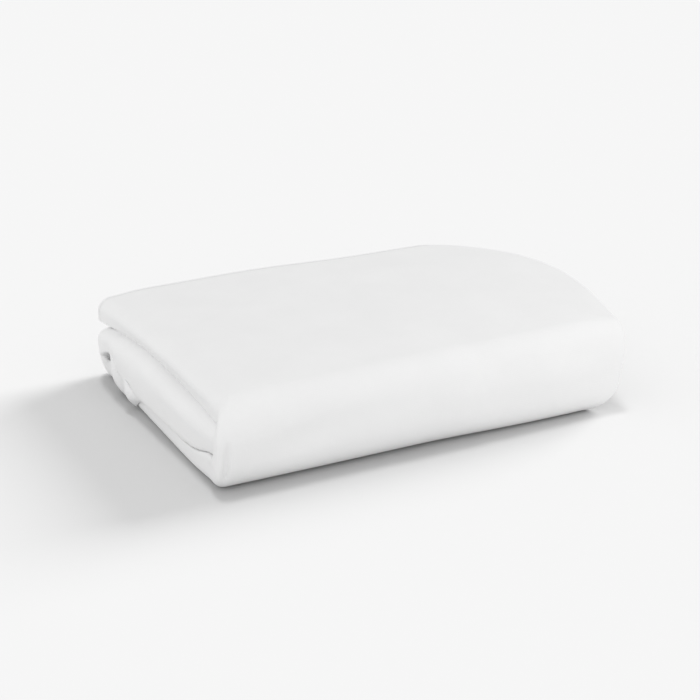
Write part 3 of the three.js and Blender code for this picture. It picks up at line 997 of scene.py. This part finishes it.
@dataclass(frozen=True)
class SurfaceGroup(ABC):
    """A shader node group that the cloths share. Its inputs have a value, or None for a place."""

    name: str
    inputs: tuple[tuple[str, float | None], ...]
    outputs: tuple[str, ...]

    @abstractmethod
    def work_out(self, tools: NodeTools, given: Sockets, cloth: Sockets) -> tuple[Socket, ...]:
        """Adds the group's own nodes.

        Args:
            tools: Tools on its tree.
            given: Its inputs.
            cloth: The flat coordinates, split.

        Returns:
            What it puts out, in order.
        """

    def build(self) -> bpy.types.NodeTree:
        """Makes the group.

        Returns:
            Its node tree, with its inputs joined to its outputs.
        """
        tree = bpy.data.node_groups.new(self.name, "ShaderNodeTree")
        for label, value in self.inputs:
            kind = "NodeSocketVector" if value is None else "NodeSocketFloat"
            socket = tree.interface.new_socket(label, in_out="INPUT", socket_type=kind)
            if value is not None:
                socket.default_value = value
        for label in self.outputs:
            tree.interface.new_socket(label, in_out="OUTPUT", socket_type="NodeSocketFloat")
        tools = NodeTools(tree)
        given = tools.add("NodeGroupInput").outputs
        result = tools.add("NodeGroupOutput").inputs
        split = tools.add("ShaderNodeSeparateXYZ")
        tools.join(given["Cloth"], split.inputs[0])
        for label, socket in zip(self.outputs, self.work_out(tools, given, split.outputs)):
            tools.join(socket, result[label])
        return tree


@dataclass(frozen=True)
class KnitSurface(SurfaceGroup):
    """A fine knit with soft fluff: a height for the bump and a mask for the colour.

    Wales are a cosine across the cloth, courses a sine along it bent by the wales, and the fluff is
    two scales of noise. The mask is a third, slow noise with a little of the knit. Each noise is its
    scale, its detail and its share.
    """

    name: str = "knit_surface"
    inputs: tuple[tuple[str, float | None], ...] = (
        ("Cloth", None), ("Place", None), ("Stitches", 900.0), ("Knit", 0.5), ("Fluff", 0.5))
    outputs: tuple[str, ...] = ("Height", "Mottle")
    course_bend: float = 1.6
    fine: tuple[float, float, float] = (1400.0, 3.0, 0.6)
    coarse: tuple[float, float, float] = (160.0, 4.0, 1.1)
    cloud: tuple[float, float, float] = (22.0, 5.0, 0.8)
    cloud_roughness: float = 0.6
    knit_in_mottle: float = 0.35

    def work_out(self, tools: NodeTools, given: Sockets, cloth: Sockets) -> tuple[Socket, ...]:
        """Adds the knit, the fluff and the mottle."""
        turns = tools.math("MULTIPLY", given["Stitches"], 2 * math.pi)
        wale = tools.math("COSINE", tools.math("MULTIPLY", cloth["X"], turns))
        bend = tools.math("MULTIPLY", tools.math("ABSOLUTE", wale), self.course_bend)
        course = tools.math("SINE", tools.math("ADD", tools.math("MULTIPLY", cloth["Y"], turns), bend))
        knit = tools.math("MULTIPLY", tools.math("ADD", wale, course), 0.25)
        fine = tools.math("MULTIPLY", tools.noise(given["Place"], *self.fine[:2]), self.fine[2])
        coarse = tools.math("MULTIPLY", tools.noise(given["Place"], *self.coarse[:2]), self.coarse[2])
        height = tools.math("ADD", tools.math("MULTIPLY", knit, given["Knit"]),
                            tools.math("MULTIPLY", tools.math("ADD", fine, coarse), given["Fluff"]))
        cloud = tools.noise(given["Place"], *self.cloud[:2], self.cloud_roughness)
        mottle = tools.math("ADD", tools.math("MULTIPLY", cloud, self.cloud[2]),
                            tools.math("MULTIPLY", knit, self.knit_in_mottle))
        return height, mottle


@dataclass(frozen=True)
class EdgeStitching(SurfaceGroup):
    """A row of stitches along all the edges of a cloth, as a height for the bump.

    The distance to the nearest edge is the least of the four. A stitch is a Gaussian across the row,
    exp(-((distance - inset) / reach)^2), times a dash, a raised sine along it.
    """

    name: str = "edge_stitching"
    inputs: tuple[tuple[str, float | None], ...] = (
        ("Cloth", None), ("Length", 1.0), ("Width", 1.0), ("Inset", 0.005), ("Pitch", 0.003))
    outputs: tuple[str, ...] = ("Height",)
    reach: float = 0.0006
    raised: float = 0.9
    sunk: float = 0.2

    def work_out(self, tools: NodeTools, given: Sockets, cloth: Sockets) -> tuple[Socket, ...]:
        """Adds the distance to the nearest edge and the stitches."""
        along, across = cloth["X"], cloth["Y"]
        ends = tools.math("MINIMUM", along, tools.math("SUBTRACT", given["Length"], along))
        sides = tools.math("MINIMUM", across, tools.math("SUBTRACT", given["Width"], across))
        off = tools.math("SUBTRACT", tools.math("MINIMUM", ends, sides), given["Inset"])
        spread = tools.math("POWER", tools.math("ABSOLUTE", tools.math("DIVIDE", off, self.reach)), 2.0)
        row = tools.math("EXPONENT", tools.math("MULTIPLY", spread, -1.0))
        turns = tools.math("DIVIDE", tools.math("ADD", along, across), given["Pitch"])
        dash = tools.math("SINE", tools.math("MULTIPLY", turns, 2 * math.pi))
        raised = tools.math("ADD", tools.math("MULTIPLY", dash, self.raised), -self.sunk)
        return (tools.math("MULTIPLY", row, raised),)


@dataclass(frozen=True)
class Surfaces:
    """The shader groups that the cloths share."""

    knit: bpy.types.NodeTree
    stitching: bpy.types.NodeTree


@dataclass(frozen=True)
class ClothFinish:
    """Matt white cloth: two close greys mixed by the knit's mottle, sheen and a fine bump."""

    name: str
    dark: float
    light: float
    roughness: float
    sheen: float
    stitches: float
    knit: float
    fluff: float
    bump: float
    seam_inset: float = 0.005
    seam_height: float = 0.0002
    mottle_range: Pair = (0.2, 0.7)
    roughness_varies: float = 0.05
    specular: float = 0.25
    sheen_roughness: float = 0.6

    def build(self, surfaces: Surfaces, length: float, width: float) -> bpy.types.Material:
        """Makes the material.

        Args:
            surfaces: The shared shader groups.
            length: Length of the cloth along its U.
            width: Width of the cloth along its V.

        Returns:
            The material.
        """
        material = bpy.data.materials.new(self.name)
        material.use_nodes = True
        tools = NodeTools(material.node_tree)
        shader = material.node_tree.nodes["Principled BSDF"]
        tools.fill(shader, {"Specular IOR Level": self.specular, "Sheen Weight": self.sheen,
                            "Sheen Roughness": self.sheen_roughness})
        knit = tools.add("ShaderNodeGroup", node_tree=surfaces.knit)
        tools.fill(knit, {"Stitches": self.stitches, "Knit": self.knit, "Fluff": self.fluff})
        stitching = tools.add("ShaderNodeGroup", node_tree=surfaces.stitching)
        tools.fill(stitching, {"Length": length, "Width": width, "Inset": self.seam_inset})
        cloth = tools.add("ShaderNodeUVMap", uv_map="cloth").outputs["UV"]
        tools.join(cloth, knit.inputs["Cloth"])
        tools.join(cloth, stitching.inputs["Cloth"])
        tools.join(tools.add("ShaderNodeTexCoord").outputs["Object"], knit.inputs["Place"])
        colours = tools.add("ShaderNodeValToRGB")
        for stop, place, grey in zip(colours.color_ramp.elements, self.mottle_range, (self.dark, self.light)):
            stop.position = place
            stop.color = (grey, grey, grey, 1.0)
        tools.join(knit.outputs["Mottle"], colours.inputs["Fac"])
        tools.join(colours.outputs["Color"], shader.inputs["Base Color"])
        rough = tools.add("ShaderNodeMapRange", {"To Min": self.roughness - self.roughness_varies,
                                                 "To Max": self.roughness + self.roughness_varies})
        tools.join(knit.outputs["Mottle"], rough.inputs["Value"])
        tools.join(rough.outputs["Result"], shader.inputs["Roughness"])
        sewn = tools.math("MULTIPLY", stitching.outputs["Height"], self.seam_height / self.bump)
        bump = tools.add("ShaderNodeBump", {"Strength": 1.0, "Distance": self.bump})
        tools.join(tools.math("ADD", knit.outputs["Height"], sewn), bump.inputs["Height"])
        tools.join(bump.outputs["Normal"], shader.inputs["Normal"])
        return material


# The pieces


@dataclass
class ClothPiece(ABC):
    """One cloth of the bundle: a grid of two faces that is closed into a sheet."""

    finish: ClothFinish

    @abstractmethod
    def build(self, surfaces: Surfaces) -> bpy.types.Object:
        """Makes the piece.

        Args:
            surfaces: The shared shader groups.

        Returns:
            The piece.
        """

    def dress(self, name: str, grid: Grid, cloth: Grid, surfaces: Surfaces) -> tuple[bpy.types.Object, Grid]:
        """Closes the grid into a piece and puts its finish on.

        Args:
            name: The piece's name.
            grid: Points, rows by stops by two faces by three.
            cloth: Which cells are cloth.
            surfaces: The shared shader groups.

        Returns:
            The piece, and its flat coordinates.
        """
        flat = flat_coordinates(grid)
        along, across = flat_size(flat)
        piece = sheet_mesh(name, grid, cloth, flat)
        piece.data.materials.append(self.finish.build(surfaces, along, across))
        log.info("%s: %d faces, %.3f by %.3f m of cloth", name, len(piece.data.polygons), along, across)
        return piece, flat


@dataclass
class Panel(ClothPiece):
    """The folded panel: the smooth grid of the strip, with its creases on the outer face."""

    finish: ClothFinish = ClothFinish("panel_cloth", 0.765, 0.800, 0.85, 0.12, 900.0, 0.25, 0.6, 0.00008)
    steps: GridSteps = GridSteps(64, 58, 22, 14, 50, 96, 14, 30, 6, 12)
    deepest: float = -0.0020
    highest: float = 0.0040
    creases: tuple[Crease, ...] = (
        Crease(Side.FRONT, (0.029, 0.074), (0.031, 0.020), 0.0055, -0.0014),
        Crease(Side.FRONT, (0.018, 0.068), (0.021, 0.026), 0.009, 0.0009),
        Crease(Side.FRONT, (-0.154, 0.026), (-0.030, 0.042), 0.010, -0.0014, 0.002),
        Crease(Side.FRONT, (0.050, 0.056), (0.150, 0.050), 0.015, -0.0012),
        Crease(Side.FRONT, (-0.1716, 0.036), (-0.1730, 0.008), 0.0024, -0.0026),
        Crease(Side.FRONT, (-0.120, 0.060), (-0.060, 0.066), 0.010, 0.0007),
        Crease(Side.TOP, (0.030, -0.020), (0.026, -0.108), 0.010, -0.0007),
        Crease(Side.TOP, (-0.130, 0.096), (-0.090, 0.060), 0.016, -0.0006),
        Crease(Side.TOP, (-0.120, 0.060), (-0.060, 0.055), 0.007, -0.0004),
        Crease(Side.TOP, (0.020, 0.060), (0.090, 0.020), 0.018, -0.0006, 0.004),
        Crease(Side.TOP, (-0.090, -0.050), (0.000, -0.078), 0.016, 0.0006),
        Crease(Side.TOP, (0.080, -0.040), (0.150, -0.060), 0.014, -0.0006),
        Crease(Side.LEFT, (-0.092, 0.022), (-0.120, 0.033), 0.0032, -0.0008, 0.002),
        Crease(Side.LEFT, (0.112, 0.0565), (-0.094, 0.0565), 0.0060, 0.0039),
        Crease(Side.LEFT, (0.078, 0.044), (0.052, 0.022), 0.007, 0.0009),
        Crease(Side.LEFT, (0.040, 0.036), (-0.090, 0.028), 0.005, -0.0006, 0.002),
    )

    def build(self, surfaces: Surfaces) -> bpy.types.Object:
        """Folds the grid and creases it."""
        grid, cloth = FoldedStrip(Layer.PANEL, self.steps).grid()
        outer = grid[:, :, 0]
        normals = surface_normals(outer)
        lift = sum(crease.lift(outer, normals) for crease in self.creases)
        grid[:, :, 0] = outer + normals * np.clip(lift, self.deepest, self.highest)[..., None]
        piece, flat = self.dress("folded_panel", grid, cloth, surfaces)
        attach(piece, BODY)
        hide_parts("panel")
        return piece


@dataclass
class Skirt(ClothPiece):
    """The skirt, folded flat against the underside of the panel as one ring."""

    finish: ClothFinish = ClothFinish("skirt_jersey", 0.750, 0.785, 0.80, 0.10, 1200.0, 0.6, 0.3, 0.00008)
    steps: GridSteps = GridSteps(24, 16, 14, 10, 20, 20, 20, 12, 6, 8)

    def build(self, surfaces: Surfaces) -> bpy.types.Object:
        """Folds the grid and measures its ring of cloth."""
        grid, cloth = FoldedStrip(Layer.SKIRT, self.steps).grid()
        piece, flat = self.dress("folded_skirt", grid, cloth, surfaces)
        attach(piece, BODY)
        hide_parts("skirt")
        return piece


@dataclass
class ElasticHem(ClothPiece):
    """The gathered hem that hangs out of the left end: a sheet whose height along X is a standing
    place plus waves that run along Y and turn with height."""

    finish: ClothFinish = ClothFinish("hem_binding", 0.770, 0.810, 0.80, 0.12, 1300.0, 0.7, 0.3, 0.0001)
    back_y: float = 0.075
    front_y: float = 0.019
    groove_x: float = -0.1774
    narrows_from: float = 0.70
    narrows_by: float = 0.95
    goes_in: float = 0.85
    above_groove: float = 0.0085
    bottom_z: float = 0.003
    stands_off: float = -0.0004
    under_end: float = 0.8
    waves: float = 2.0
    wave_turns: float = 1.1
    wave_height: float = 0.0054
    wave_sides: Pair = (0.05, 0.92)
    steps: tuple[int, int] = (140, 26)

    def middle(self, k: Grid, up: Grid) -> Grid:
        """Middle surface of the hem: it leans from the lower third's end to the middle third's, waves
        outwards from there, and its front end narrows and draws back into the groove between them.

        Args:
            k: Share from the back end to the front end, as a column.
            up: Share up from the lower edge, as a row.

        Returns:
            Points, k by up by three.
        """
        y = blend(self.back_y, self.front_y, k)
        from_back = (PLAN.back_fold_y - y) / (PLAN.back_fold_y - PLAN.wrap_axis_y)
        level = LEVELS.at(np.full_like(y, self.groove_x), y)
        groove = (level["lower_top"] + level["middle_bottom"]) / 2
        going = self.goes_in * smooth(self.narrows_from, 1.0, k)
        tall = 1.0 - self.narrows_by * np.sqrt(going)
        top = groove + self.above_groove * tall
        bottom = groove - (groove - self.bottom_z) * tall
        half = (level["middle_top"] - level["middle_bottom"]) / 2
        below = (level["middle_top"] + level["middle_bottom"]) / 2 - top
        share = np.clip(below / half, 0.0, self.under_end)
        blunt = MIDDLE_BLUNT[1]
        inset = STRETCH * half * (1.0 - (1.0 - share**blunt) ** (1.0 / blunt))
        lower = PLAN.lower_left.at(from_back)
        middle = PLAN.middle_left.at(from_back) + inset
        wave = 0.5 - 0.5 * np.cos(2 * math.pi * self.waves * k + self.wave_turns * up)
        lift = self.wave_height * wave * np.sin(math.pi * blend(*self.wave_sides, up))
        x = blend(blend(lower, middle, up) - self.stands_off - lift, self.groove_x, going**2)
        return np.stack([x - PLAN.centre_x, y + 0.0 * x - PLAN.centre_y, blend(bottom, top, up)], -1)

    def build(self, surfaces: Surfaces) -> bpy.types.Object:
        """Gives the middle surface its thickness."""
        k = np.linspace(0.0, 1.0, self.steps[0])[:, None]
        up = np.linspace(1.0, 0.0, self.steps[1])[None, :]
        middle = self.middle(k, up)
        square = surface_normals(middle) * CLOTH.hem / 2
        grid = np.stack([middle + square, middle - square], 2)
        cloth = np.ones((grid.shape[0] - 1, grid.shape[1] - 1), bool)
        piece, flat = self.dress("gathered_hem", grid, cloth, surfaces)
        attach(piece, BODY)
        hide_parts("elastic_hem")
        return piece


# The studio


def pointing(azimuth: float, elevation: float) -> Vector:
    """Unit vector from the bundle towards a place round it, both angles in degrees."""
    turn, lift = math.radians(azimuth), math.radians(elevation)
    return Vector((math.sin(turn) * math.cos(lift), -math.cos(turn) * math.cos(lift), math.sin(lift)))


class Lit(Enum):
    """What a light falls on."""

    FLOOR = "floor"
    CLOTH = "cloth"


@dataclass(frozen=True)
class StudioLight(ABC):
    """A light turned to the bundle: where it stands round it and how high, in degrees, its strength
    as the share of white that it gives a face turned to it, and what it falls on."""

    name: str
    azimuth: float
    elevation: float
    share: float
    lit: Lit

    @abstractmethod
    def lamp(self) -> tuple[bpy.types.Light, float]:
        """The lamp's data and its distance."""

    def build(self, groups: dict[Lit, bpy.types.Collection]) -> None:
        """Makes the light and links it to what it falls on.

        Args:
            groups: The collections of pieces that lights are kept to.
        """
        data, distance = self.lamp()
        towards = pointing(self.azimuth, self.elevation)
        light = placed(self.name, data)
        light.location = distance * towards
        light.rotation_euler = (-towards).to_track_quat("-Z", "Y").to_euler()
        light.light_linking.receiver_collection = groups[self.lit]


@dataclass(frozen=True)
class FarLight(StudioLight):
    """A far light, its softness the width of it in degrees as seen from the bundle."""

    softness: float

    def lamp(self) -> tuple[bpy.types.Light, float]:
        """A sun's data, and no distance."""
        data = bpy.data.lights.new(self.name, "SUN")
        data.energy = self.share * math.pi
        data.angle = math.radians(self.softness)
        return data, 0.0


@dataclass(frozen=True)
class NearLight(StudioLight):
    """A square light close by, with its distance and its side in metres."""

    distance: float
    side: float

    def lamp(self) -> tuple[bpy.types.Light, float]:
        """A square lamp's data and its distance."""
        data = bpy.data.lights.new(self.name, "AREA")
        data.shape = "SQUARE"
        data.size = self.side
        data.energy = self.share * (math.pi * self.distance) ** 2
        return data, self.distance


@dataclass
class Studio:
    """Pale floor, soft light and the camera at the picture's angle."""

    focal_px: float = 1600.0
    frame_px: float = 700.0
    sensor: float = 36.0
    clip_end: float = 50.0
    azimuth: float = -27.2
    elevation: float = 22.0
    distance: float = 1.2351
    target: tuple[float, float, float] = (-0.01515, 0.00212, 0.0321)
    floor_half: float = 9.0
    floor_colour: float = 0.588
    floor_roughness: float = 0.9
    dome: float = 0.84
    lights: tuple[StudioLight, ...] = (
        FarLight("floor_key", 105.0, 25.0, 1.06, Lit.FLOOR, 28.0),
        FarLight("floor_back", 168.0, 77.0, 0.29, Lit.FLOOR, 11.0),
        FarLight("cloth_top", 150.0, 76.0, 0.06, Lit.CLOTH, 70.0),
        FarLight("cloth_front", -20.0, 16.0, 0.12, Lit.CLOTH, 70.0),
        FarLight("cloth_left", -78.0, 30.0, 0.13, Lit.CLOTH, 60.0),
        NearLight("cloth_right", 50.0, 26.0, 0.13, Lit.CLOTH, 0.7, 0.4),
    )

    def floor(self) -> bpy.types.Object:
        """A flat pale plane under the bundle."""
        half = self.floor_half
        mesh = bpy.data.meshes.new("floor")
        corners = [(-half, -half, 0.0), (half, -half, 0.0), (half, half, 0.0), (-half, half, 0.0)]
        mesh.from_pydata(corners, [], [(0, 1, 2, 3)])
        piece = placed("floor", mesh)
        material = bpy.data.materials.new("pale_floor")
        material.use_nodes = True
        shader = material.node_tree.nodes["Principled BSDF"]
        shader.inputs["Base Color"].default_value = (self.floor_colour,) * 3 + (1.0,)
        shader.inputs["Roughness"].default_value = self.floor_roughness
        shader.inputs["Specular IOR Level"].default_value = 0.0
        mesh.materials.append(material)
        return piece

    def camera(self) -> None:
        """The camera, looking at its target from the picture's angle."""
        back = pointing(self.azimuth, self.elevation)
        data = bpy.data.cameras.new("camera")
        data.sensor_width = self.sensor
        data.lens = self.focal_px / self.frame_px * data.sensor_width
        data.clip_end = self.clip_end
        camera = placed("camera", data)
        camera.location = Vector(self.target) + self.distance * back
        camera.rotation_euler = (-back).to_track_quat("-Z", "Y").to_euler()
        bpy.context.scene.camera = camera

    def world(self) -> None:
        """Even white light from all round."""
        world = bpy.data.worlds.new("studio")
        world.use_nodes = True
        background = world.node_tree.nodes["Background"]
        background.inputs["Color"].default_value = (1.0, 1.0, 1.0, 1.0)
        background.inputs["Strength"].default_value = self.dome
        bpy.context.scene.world = world

    def build(self, cloth: list[bpy.types.Object]) -> None:
        """Sets up the floor, the lights, the camera and a plain rendering of tones.

        Args:
            cloth: The pieces of the bundle, for the lights that are kept to them.
        """
        groups = {Lit.FLOOR: bpy.data.collections.new("lit_floor"),
                  Lit.CLOTH: bpy.data.collections.new("lit_cloth")}
        groups[Lit.FLOOR].objects.link(self.floor())
        for piece in cloth:
            groups[Lit.CLOTH].objects.link(piece)
        self.world()
        for light in self.lights:
            light.build(groups)
        self.camera()
        bpy.context.scene.view_settings.view_transform = "Standard"


def main() -> None:
    """Builds the pieces in order."""
    logging.basicConfig(level=logging.INFO, format="%(name)s %(message)s")
    surfaces = Surfaces(KnitSurface().build(), EdgeStitching().build())
    cloth = [sub_assembly.build(surfaces) for sub_assembly in (Panel(), Skirt(), ElasticHem())]
    Studio().build(cloth)


if __name__ == "__main__":
    main()
